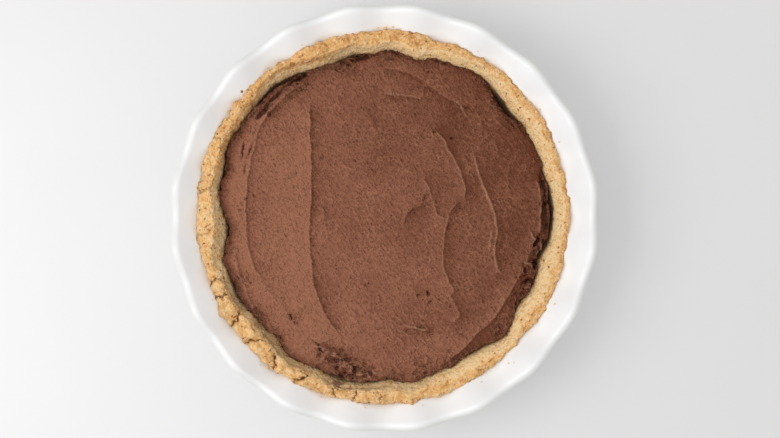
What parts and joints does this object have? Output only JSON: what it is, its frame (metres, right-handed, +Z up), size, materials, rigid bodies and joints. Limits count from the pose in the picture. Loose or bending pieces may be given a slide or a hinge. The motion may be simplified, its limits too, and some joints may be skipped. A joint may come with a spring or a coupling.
{
  "type": "chocolate tart",
  "caption": "Round chocolate tart in its baking dish: spread chocolate filling in a crumbly nut pastry shell with an uneven rim, inside a white ruffled ceramic pie dish.",
  "frame": {"origin": "on the table, at the centre of the dish's foot ring", "axes": "+Z up out of the dish; +X is the right-hand side and +Y the far side of the tart seen from above"},
  "size_m": [0.268, 0.268, 0.0483],
  "materials": {
    "glazed_dish": "glossy white glaze",
    "nut_pastry": "dry, crumbly baked surface",
    "chocolate_filling": "matt set cream with a faint sheen"
  },
  "bodies": {
    "root": {"dish": "glazed_dish", "crust": "nut_pastry", "filling": "chocolate_filling"}
  },
  "joints": []
}
